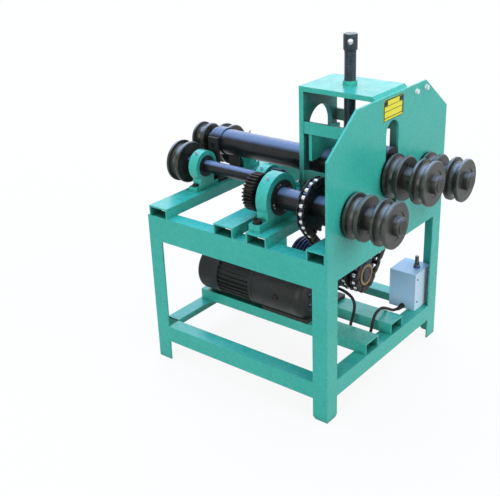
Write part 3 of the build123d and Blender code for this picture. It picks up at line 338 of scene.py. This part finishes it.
# Shapes
class Shape:
    """Faces of one piece, collected in the shared frame, in metres."""

    def __init__(self):
        self.bm = bmesh.new()

    def ring(self, centre, u, v, r, count, turn=0.0):
        steps = [turn + 2 * math.pi * k / count for k in range(count)]
        return [self.bm.verts.new(centre + (u * math.cos(a) + v * math.sin(a)) * r) for a in steps]

    def bridge(self, a, b):
        for k in range(len(a)):
            self.bm.faces.new((a[k], a[k - 1], b[k - 1], b[k]))

    def cap(self, ring, flip=False):
        self.bm.faces.new(list(reversed(ring)) if flip else ring)

    def lathe(self, profile, centre, axis, count=48, turn=0.0):
        """Turn (radius, distance along axis) corners about an axis; the profile's ends are closed."""
        axis = Vector(axis).normalized()
        u = axis.orthogonal().normalized()
        v = axis.cross(u)
        rings = [self.ring(Vector(centre) + axis * d, u, v, r, count, turn) for r, d in profile]
        for a, b in zip(rings, rings[1:]):
            self.bridge(a, b)
        if (profile[0][0] - profile[-1][0]) ** 2 + (profile[0][1] - profile[-1][1]) ** 2 < 1e-12:
            return
        self.cap(rings[0])
        self.cap(rings[-1], True)

    def washer(self, inner, outer, centre, axis, start, end, count=64, edge=0.0006):
        """Flat ring with broken edges."""
        e = edge
        profile = [(inner, start), (outer - e, start), (outer, start + e), (outer, end - e), (outer - e, end),
                   (inner + e, end), (inner, end - e), (inner, start)]
        self.lathe(profile, centre, axis, count)

    def hexagon(self, centre, axis, across, height, turn=0.0):
        """Bolt head or nut with a turned chamfer on its outer end."""
        r = across / math.sqrt(3)
        profile = [(r, 0), (r, 0.86 * height), (0.88 * r, height), (0.3 * r, height)]
        self.lathe(profile, centre, axis, 6, turn)

    def dome(self, centre, axis, r, height, count=24):
        """Pan head with a shallow recess."""
        profile = [(r, 0), (r, 0.45 * height), (0.86 * r, 0.8 * height), (0.55 * r, height),
                   (0.28 * r, height), (0.24 * r, 0.62 * height)]
        self.lathe(profile, centre, axis, count)

    def bead(self, start, end, r, pitch=0.0042, seed=0.0):
        """Rippled weld bead between two points."""
        start, end = Vector(start), Vector(end)
        run = end - start
        axis = run.normalized()
        u = axis.orthogonal().normalized()
        v = axis.cross(u)
        count = max(6, int(run.length / (pitch / 3)))
        rings = []
        for i in range(count + 1):
            s = run.length * i / count
            ripple = 0.84 + 0.16 * abs(math.sin(math.pi * s / pitch))
            drift = 1 + 0.10 * math.sin(61 * s + seed) + 0.06 * math.sin(187 * s + 2 * seed)
            taper = min(1.0, 0.35 + min(s, run.length - s) / (1.4 * r))
            sway, heave = math.sin(43 * s + seed), math.cos(37 * s + seed)
            wander = u * (0.12 * r * sway) + v * (0.12 * r * heave)
            rings.append(self.ring(start + axis * s + wander, u, v, r * ripple * drift * taper, 8))
        for a, b in zip(rings, rings[1:]):
            self.bridge(a, b)
        self.cap(rings[0])
        self.cap(rings[-1], True)

    def block(self, low, high, edge):
        """Box with bevelled edges."""
        low, high = Vector(low), Vector(high)
        made = bmesh.ops.create_cube(self.bm, size=1.0)["verts"]
        for vert in made:
            vert.co = Vector(low[i] + (vert.co[i] + 0.5) * (high[i] - low[i]) for i in range(3))
        sides = {e for vert in made for e in vert.link_edges}
        bmesh.ops.bevel(self.bm, geom=list(sides), offset=edge, segments=2, affect="EDGES", profile=0.6)

    def piece(self, name, body, slot, look=None, smooth=35):
        """Finish the mesh and let it ride on a body; the look is its slot's unless another is named."""
        bmesh.ops.recalc_face_normals(self.bm, faces=self.bm.faces)
        mesh = bpy.data.meshes.new(name)
        self.bm.to_mesh(mesh)
        self.bm.free()
        mesh.shade_smooth()
        mesh.set_sharp_from_angle(angle=math.radians(smooth))
        made = bpy.data.objects.new(name, mesh)
        scene.collection.objects.link(made)
        mesh.materials.append(looks[look or slot].material)
        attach(made, body)
        return made


# Cable on the route of its CAD solid, in millimetres from the middle of the table
CABLE = [(45.12, 132, 250), (45.12, 78, 250), (45.12, 20, 248), (45.12, -45, 248), (45.12, -110, 251),
         (42.12, -170, 254), (29.12, -226, 236), (21.12, -226, 180), (18, -210, 128), (18, -236, 86),
         (18, -282, 92), (18, -300, 140), (30, -302, 196), (83.7, -297, 204), (136.3, -295, 176),
         (184, -300, 145.5), (235, -300, 145.5)]


def lay_cable():
    route = [(x / 1000, y / 1000 + SHIFT, z / 1000) for x, y, z in CABLE]
    data = bpy.data.curves.new("cable_run", "CURVE")
    data.dimensions = "3D"
    spline = data.splines.new("NURBS")
    spline.points.add(len(route) - 1)
    for point, place in zip(spline.points, route):
        point.co = (*place, 1.0)
    spline.order_u = 3
    spline.use_endpoint_u = True
    spline.resolution_u = 10
    data.bevel_depth = 0.0055
    data.bevel_resolution = 5
    data.use_fill_caps = True
    cable = bpy.data.objects.new("cable_run", data)
    scene.collection.objects.link(cable)
    data.materials.append(looks["cable_rubber"].material)
    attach(cable, "frame")
    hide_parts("cable")
    sleeves = Shape()
    for end, axis in ((Vector(route[0]) + Y * 0.002, -Y), (Vector(route[-1]) + X * 0.002, -X)):
        sleeves.hexagon(end, axis, 0.0185, 0.006)
        profile = [(0.0086, 0.006), (0.0090, 0.0075), (0.0090, 0.0165), (0.0082, 0.019), (0.0076, 0.0215),
                   (0.0068, 0.030), (0.0064, 0.0335), (0.0057, 0.0338)]
        sleeves.lathe(profile, end, axis, 20)
    sleeves = sleeves.piece("cable_sleeves", "frame", "black_plastic")


lay_cable()


# Press screw: real thread, cross-drilled head
def make_screw():
    lead, crest, root, tip = 0.006, 0.019, 0.0174, 0.010
    low, high = 0.833, 1.112
    count, step = 40, lead / 8
    foot = ((tip, 0.822), (tip, 0.831), (root, 0.831))
    head = ((crest, 1.113), (0.0221, 1.1166), (0.0225, 1.1175), (0.0225, 1.1632), (0.0208, 1.165), (0.004, 1.165))
    hole_z, hole_turn = 1.143, math.radians(32.4)
    shape = Shape()
    centre = Vector((0, SCREW_Y, 0))
    rings = [shape.ring(centre + Z * z, X, Y, r, count) for r, z in foot]
    for i in range(int((high - low) / step) + 1):
        z = low + i * step
        fade = min(1.0, (high - z) / 0.010, (z - low) / 0.004 + 0.2)
        ring = []
        for k in range(count):
            angle = 2 * math.pi * k / count
            phase = (z / lead - k / count) % 1.0
            tooth = min(1.0, max(0.0, (0.34 - abs(phase - 0.5)) / 0.17))
            r = root + (crest - root) * (1 - (1 - tooth) * fade)
            ring.append(shape.bm.verts.new(centre + Vector((r * math.cos(angle), r * math.sin(angle), z))))
        rings.append(ring)
    rings += [shape.ring(centre + Z * z, X, Y, r, count) for r, z in head]
    for a, b in zip(rings, rings[1:]):
        shape.bridge(a, b)
    shape.cap(rings[0])
    shape.cap(rings[-1], True)
    screw = shape.piece("press_screw_thread", "screw", "black_steel", "screw_steel")
    drill = Shape()
    across = Vector((math.cos(hole_turn), math.sin(hole_turn), 0))
    profile = [(0.0106, -0.030), (0.0106, -0.0220), (0.0090, -0.0200), (0.0090, 0.0200), (0.0106, 0.0220),
               (0.0106, 0.030)]
    drill.lathe(profile, centre + Z * hole_z, across, 40)
    cutter = drill.piece("bar_hole_cutter", "screw", "black_steel")
    cut = screw.modifiers.new("bar_hole", "BOOLEAN")
    cut.object = cutter
    cut.operation = "DIFFERENCE"
    cut.solver = "EXACT"
    bpy.context.view_layer.update()
    mesh = bpy.data.meshes.new_from_object(screw.evaluated_get(bpy.context.evaluated_depsgraph_get()))
    screw.modifiers.clear()
    screw.data = mesh
    mesh.set_sharp_from_angle(angle=math.radians(30))
    bpy.data.objects.remove(cutter)
    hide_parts("press_screw")


make_screw()


# Chain rollers at the sprockets, where the CAD's links have none
PITCH, MAIN_TEETH, DRIVE_TEETH, LINKS = 0.0254, 20, 13, 47
LEFT_CHAIN_Y, RIGHT_CHAIN_Y = -0.240 + SHIFT, -0.273 + SHIFT
TOOTH_ROOM = 0.01415
ROLLER = [(0.0070, -0.0077), (0.00785, -0.0068), (0.00785, 0.0068), (0.0070, 0.0077)]


def chain_pins():
    """Pin places of the left chain on a sprocket or within reach of its teeth."""
    main_r = PITCH / 2 / math.sin(math.pi / MAIN_TEETH)
    drive_r = PITCH / 2 / math.sin(math.pi / DRIVE_TEETH)
    lean = math.atan2(DRIVE_Z - MAIN_Z, MAIN_X)
    reach = math.hypot(MAIN_X, DRIVE_Z - MAIN_Z)
    opening = math.acos((main_r - drive_r) / reach)
    strand = math.sqrt(reach ** 2 - (main_r - drive_r) ** 2) / PITCH
    main_wrap = (math.pi - opening) * MAIN_TEETH / math.pi
    drive_wrap = opening * DRIVE_TEETH / math.pi
    step = (main_wrap + drive_wrap + 2 * strand) / LINKS
    first = (main_wrap - math.floor(main_wrap)) / 2
    places = []
    for k in range(LINKS):
        s = first + k * step
        a0, a1 = lean + opening, lean - opening
        if s <= main_wrap:
            angle = a0 + s * 2 * math.pi / MAIN_TEETH
            places.append((-MAIN_X + main_r * math.cos(angle), MAIN_Z + main_r * math.sin(angle)))
            continue
        s -= main_wrap
        if 0 <= s - strand <= drive_wrap:
            angle = a1 + (s - strand) * 2 * math.pi / DRIVE_TEETH
            places.append((drive_r * math.cos(angle), DRIVE_Z + drive_r * math.sin(angle)))
            continue
        goes = s < strand
        share = s / strand if goes else (s - strand - drive_wrap) / strand
        start = (-MAIN_X + main_r * math.cos(a1), MAIN_Z + main_r * math.sin(a1))
        end = (drive_r * math.cos(a1), DRIVE_Z + drive_r * math.sin(a1))
        if not goes:
            start = (drive_r * math.cos(a0), DRIVE_Z + drive_r * math.sin(a0))
            end = (-MAIN_X + main_r * math.cos(a0), MAIN_Z + main_r * math.sin(a0))
        x, z = (start[i] + share * (end[i] - start[i]) for i in range(2))
        near_main = math.hypot(x + MAIN_X, z - MAIN_Z) < main_r + TOOTH_ROOM
        near_drive = math.hypot(x, z - DRIVE_Z) < drive_r + TOOTH_ROOM
        if near_main or near_drive:
            places.append((x, z))
    return places


for name, sign, y in (("chain_rollers_left", 1, LEFT_CHAIN_Y), ("chain_rollers_right", -1, RIGHT_CHAIN_Y)):
    rollers = Shape()
    for x, z in chain_pins():
        rollers.lathe(ROLLER, (sign * x, y, z), Y, 24)
    # The rollers take the near-white metal, a painted glint on bright steel
    rollers.piece(name, "frame", "bright_steel", "glint_white_metal")


# Bearing faces, grease nipples
def dress_bearings():
    races, seals, screws, nipples = Shape(), Shape(), Shape(), Shape()
    for sx in (-1, 1):
        spots = [(sx * MAIN_X, CENTRE_PILLOW_Y, 0.0245, 0.058, 0.0358)]
        spots += [(sx * REAR_X, y, 0.0215, 0.038, 0.0228) for y in CHANNELS[:2]]
        for x, y, half, outer, inner in spots:
            for side in (-1, 1):
                centre, axis = Vector((x, y + side * half, MAIN_Z)), Y * side
                races.washer(outer - 0.006, outer - 0.0004, centre, axis, 0, 0.0011)
                races.washer(inner, inner + 0.005, centre, axis, 0, 0.0013)
                mid = (outer - 0.006 + inner + 0.005) / 2
                wide = (outer - inner - 0.011) / 2
                profile = [(mid - wide, 0), (mid - wide, 0.0006), (mid - 0.5 * wide, 0.0010), (mid, 0.0006),
                           (mid + 0.5 * wide, 0.0010), (mid + wide, 0.0006), (mid + wide, 0), (mid - wide, 0)]
                seals.lathe(profile, centre, axis, 64)
                if y != CENTRE_PILLOW_Y:
                    continue
                for quarter in (20, 110, 200, 290):
                    for turn in (-7, 7):
                        a = math.radians(quarter + turn)
                        spot = centre + Vector((math.cos(a), 0, math.sin(a))) * 0.0475
                        screws.dome(spot, axis, 0.0026, 0.0028)
        tops = [(sx * MAIN_X, CENTRE_PILLOW_Y, CENTRE_PILLOW_TOP)]
        tops += [(sx * REAR_X, y, REAR_PILLOW_TOP) for y in CHANNELS[:2]]
        for x, y, top in tops:
            lean = Vector((sx * 0.5, 0, 0.866))
            spot = Vector((x, y, MAIN_Z)) + lean * (top - 0.0006)
            nipples.hexagon(spot, lean, 0.0085, 0.004)
            profile = [(0.0034, 0.004), (0.0024, 0.0052), (0.0024, 0.0075), (0.0032, 0.0086), (0.0030, 0.0104),
                       (0.0012, 0.0114)]
            nipples.lathe(profile, spot, lean, 20)
    races.piece("bearing_races", "frame", "bright_steel", "black_steel")
    seals.piece("bearing_seals", "frame", "black_plastic", "seal")
    screws.piece("bearing_cover_screws", "frame", "bright_steel")
    nipples.piece("grease_nipples", "frame", "bright_steel")


dress_bearings()


# Welds: start, end and radius of each bead
def weld_frame():
    fine, light, middle, heavy = 0.0026, 0.0028, 0.0030, 0.0034
    leg_side, rail_end = 0.3555, 0.304
    welds = Shape()
    runs = []
    for y in CHANNELS:
        half = FRONT_CHANNEL_HALF if y == CHANNELS[3] else CHANNEL_HALF
        for edge in (-half, half):
            for sx in (-1, 1):
                runs.append(((sx * 0.358, y + edge, TABLE_Z), (sx * 0.312, y + edge, TABLE_Z), middle))
    for sx in (-1, 1):
        x = sx * GANTRY_HALF
        for z0, z1 in ((0.856, 0.895), (0.693, 0.732)):
            for y in (GANTRY_FRONT, PLATE_BACK):
                runs.append(((x, y, z0), (x, y, z1), middle))
        x = sx * STAND_HALF
        runs.append(((x, STAND_FRONT + 0.0015, DECK_Z), (x, STAND_REAR - 0.0015, DECK_Z), light))
        x = sx * leg_side
        for y in (TABLE_FRONT + 0.056, TABLE_REAR - 0.056):
            runs.append(((x, y, LOWER_BOTTOM + 0.004), (x, y, LOWER_TOP - 0.002), fine))
            runs.append(((x, y, RAIL_BOTTOM + 0.004), (x, y, TABLE_Z - 0.006), fine))
        x = sx * rail_end
        for y in (TABLE_FRONT + 0.0055, TABLE_REAR - 0.0055):
            runs.append(((x, y, LOWER_BOTTOM + 0.004), (x, y, LOWER_TOP - 0.002), fine))
    for half, y, z, r in ((0.094, GANTRY_REAR, DECK_Z, heavy), (0.094, GANTRY_FRONT, DECK_Z, heavy),
                          (0.090, GANTRY_FRONT, GANTRY_TOP, middle), (0.304, PLATE_BACK, DECK_Z, middle),
                          (0.058, STAND_FRONT, DECK_Z, light), (0.058, STAND_REAR, DECK_Z, light)):
        runs.append(((-half, y, z), (half, y, z), r))
    for seed, (start, end, r) in enumerate(runs):
        welds.bead(start, end, r, seed=1.7 * seed)
    welds.piece("weld_beads", "frame", "green_paint", "weld", 60)


weld_frame()


# Control box, switch, motor and reducer fittings
def dress_drive():
    lid_low, lid_high, inset = (0.0575, 0.183, 0.226), (0.0605, 0.275, 0.306), 0.007
    screws = Shape()
    for x in (0.2525, 0.3345):
        for z in (0.168, 0.2575):
            screws.dome((x, BOX_FACE, z), -Y, 0.0036, 0.0022)
    for y in (lid_low[1] + inset, lid_high[1] - inset):
        for z in (lid_low[2] + inset, lid_high[2] - inset):
            screws.dome((lid_high[0], y, z), X, 0.0034, 0.0022)
    screws.piece("lid_screws", "frame", "bright_steel", "chain_steel")
    ring = Shape()
    profile = [(0.0098, 0), (0.0122, 0), (0.0122, 0.0020), (0.0116, 0.0030), (0.0112, 0.0066), (0.0106, 0.0074),
               (0.0098, 0.0074), (0.0098, 0)]
    ring.lathe(profile, SWITCH, Z, 32)
    ring.piece("switch_ring", "frame", "box_paint", "blue_plastic")
    lid = Shape()
    lid.block(lid_low, lid_high, 0.0010)
    lid.piece("terminal_lid", "frame", "drive_paint")
    bolts = Shape()
    for k in range(6):
        a = math.radians(30 + 60 * k)
        around = Vector((math.cos(a), 0, math.sin(a)))
        bolts.hexagon(Vector((MOTOR_X, REDUCER_FACE, MOTOR_Z)) + around * 0.040, -Y, 0.013, 0.0060, k)
        bolts.hexagon(Vector((0, BARREL_FACE, DRIVE_Z)) + around * 0.058, -Y, 0.011, 0.0055, k)
    for x in (-FOOT_X, FOOT_X):
        for y in FOOT_Y:
            bolts.washer(0.004, 0.0095, (x, y, FOOT_TOP), Z, 0, 0.0016, 32)
            bolts.hexagon((x, y, FOOT_TOP + 0.0016), Z, 0.014, 0.0070, x + y)
    bolts.piece("reducer_bolts", "frame", "bright_steel", "black_steel")
    plug = Shape()
    spot = Vector((REDUCER_SIDE, 0.030, MOTOR_Z))
    plug.washer(0.003, 0.0125, spot, -X, 0, 0.0016, 40)
    profile = [(0.0110, 0.0016), (0.0110, 0.0055), (0.0098, 0.0068), (0.0072, 0.0068), (0.0066, 0.0050)]
    plug.lathe(profile, spot, -X, 40)
    plug.piece("oil_sight", "frame", "bronze", "seal")
    ribs = Shape()
    first, spacing, count = -0.044, 0.014, 6
    for k in range(count):
        ribs.washer(0.0690, 0.0735, (0, first + spacing * k, DRIVE_Z), Y, 0, 0.0065, 96, 0.0012)
    ribs.piece("reducer_ribs", "frame", "drive_paint", "blue_steel")
    hub = Shape()
    hub.washer(0.0286, 0.0378, (0, HUB_FACE, DRIVE_Z), -Y, 0, 0.0016)
    hub.piece("drive_hub_ring", "drive_output", "bronze", "tan_ring")


dress_drive()


# Bare coloured plate on the front: plain dark bands and rules, four rivets
def dress_plate():
    left, right, low, high = -0.0535, 0.0515, 0.9222, 0.9878
    uprights = ((-0.0588, -0.0540, low, high), (0.0520, 0.0588, low, high))
    squares = ((left, -0.0360, 0.9690, 0.9835), (0.0340, right, 0.9690, 0.9835))
    rules = [(left, right, z0, z1) for z0, z1 in ((0.9840, high), (0.9668, 0.9685), (0.9505, 0.9525),
                                                  (0.9300, 0.9325), (low, 0.9240))]
    bands = Shape()
    for x0, x1, z0, z1 in (*uprights, *squares, *rules):
        bands.block((x0, PLATE_FACE - 0.0005, z0), (x1, PLATE_FACE, z1), 0.0001)
    bands.piece("plate_bands", "frame", "nameplate", "name_black")
    rivets = Shape()
    profile = [(0.0022, 0), (0.0022, 0.0003), (0.0016, 0.0010), (0.0006, 0.0013)]
    for x in (-0.0555, 0.0555):
        for z in (0.9255, 0.9845):
            rivets.lathe(profile, (x, PLATE_FACE - 0.0001, z), -Y, 20)
    rivets.piece("plate_rivets", "frame", "bright_steel")


dress_plate()


# Turned centres in the shaft ends
def dress_ends():
    profile = [(0.0062, 0), (0.0058, 0.0004), (0.0050, 0.0004), (0.0022, 0.0001), (0.0005, 0.0001)]
    places = {
        "left_roll": [(-MAIN_X, MAIN_Z, -Y)], "right_roll": [(MAIN_X, MAIN_Z, -Y)],
        "spindle": [(0, UPPER_Z, -Y), (0, UPPER_Z, Y)],
        "rear_left_roll": [(-REAR_X, MAIN_Z, Y)], "rear_right_roll": [(REAR_X, MAIN_Z, Y)],
    }
    for body, spots in places.items():
        ends = Shape()
        for x, z, axis in spots:
            ends.lathe(profile, Vector((x, 0, z)) + axis * (SHAFT_END - 0.0004), axis, 32)
        ends.piece("shaft_centres_" + body, body, "black_steel", "seal")


dress_ends()


# Floor and light: both are white to the camera and in reflections, and dimmer as a source of light
def lay_floor():
    bm = bmesh.new()
    bmesh.ops.create_grid(bm, x_segments=8, y_segments=8, size=30)
    mesh = bpy.data.meshes.new("floor")
    bm.to_mesh(mesh)
    bm.free()
    floor = bpy.data.objects.new("floor", mesh)
    floor.location.z = -0.0005
    scene.collection.objects.link(floor)
    look = Look("floor")
    look.set("Roughness", 0.9)
    look.set("Specular IOR Level", 0.1)
    glow = look.node("ShaderNodeEmission")
    glow.inputs["Strength"].default_value = 1.0
    path = look.node("ShaderNodeLightPath")
    seen = look.math("MAXIMUM", path.outputs["Is Camera Ray"], path.outputs["Is Glossy Ray"])
    seen = look.math("MAXIMUM", seen, path.outputs["Is Transmission Ray"])
    look.colour(look.mix(seen, (0.20, 0.20, 0.20, 1), (0.88, 0.88, 0.88, 1)))
    blend = look.node("ShaderNodeMixShader")
    look.link(look.math("MULTIPLY", seen, 0.90), blend.inputs["Fac"])
    look.link(look.shader.outputs["BSDF"], blend.inputs[1])
    look.link(glow.outputs["Emission"], blend.inputs[2])
    look.link(blend.outputs["Shader"], look.output.inputs["Surface"])
    mesh.materials.append(look.material)


def light_world():
    world = bpy.data.worlds.new("studio")
    scene.world = world
    world.use_nodes = True
    tree = world.node_tree
    tree.nodes.clear()
    out = tree.nodes.new("ShaderNodeOutputWorld")
    shade = tree.nodes.new("ShaderNodeBackground")
    shade.inputs["Color"].default_value = (0.95, 0.97, 1.0, 1)
    shade.inputs["Strength"].default_value = 0.22
    white = tree.nodes.new("ShaderNodeBackground")
    white.inputs["Color"].default_value = (1.0, 1.0, 1.0, 1)
    white.inputs["Strength"].default_value = 1.0
    path = tree.nodes.new("ShaderNodeLightPath")
    first = tree.nodes.new("ShaderNodeMath")
    first.operation = "MAXIMUM"
    second = tree.nodes.new("ShaderNodeMath")
    second.operation = "MAXIMUM"
    tree.links.new(path.outputs["Is Camera Ray"], first.inputs[0])
    tree.links.new(path.outputs["Is Glossy Ray"], first.inputs[1])
    tree.links.new(first.outputs["Value"], second.inputs[0])
    tree.links.new(path.outputs["Is Transmission Ray"], second.inputs[1])
    blend = tree.nodes.new("ShaderNodeMixShader")
    tree.links.new(second.outputs["Value"], blend.inputs["Fac"])
    tree.links.new(shade.outputs["Background"], blend.inputs[1])
    tree.links.new(white.outputs["Background"], blend.inputs[2])
    tree.links.new(blend.outputs["Shader"], out.inputs["Surface"])


# Lamps: aim, strength, spread in degrees, colour
LAMPS = {
    "left": ((0.95, 0.10, -0.30), 1.65, 50, (1.0, 0.98, 0.96)),
    "front": ((-0.05, 0.93, -0.36), 1.6, 50, (1.0, 0.99, 0.98)),
    "sky": ((-0.30, -0.25, -0.92), 3.0, 70, (0.46, 0.64, 1.0)),
    "back": ((-0.72, -0.60, -0.36), 0.4, 40, (0.95, 0.97, 1.0)),
}


def hang_lamps():
    for name, (aim, strength, spread, colour) in LAMPS.items():
        data = bpy.data.lights.new(name, "SUN")
        data.energy = strength
        data.angle = math.radians(spread)
        data.color = colour
        lamp = bpy.data.objects.new(name, data)
        lamp.rotation_mode = "QUATERNION"
        lamp.rotation_quaternion = Vector(aim).to_track_quat("-Z", "Y")
        scene.collection.objects.link(lamp)


lay_floor()
light_world()
hang_lamps()
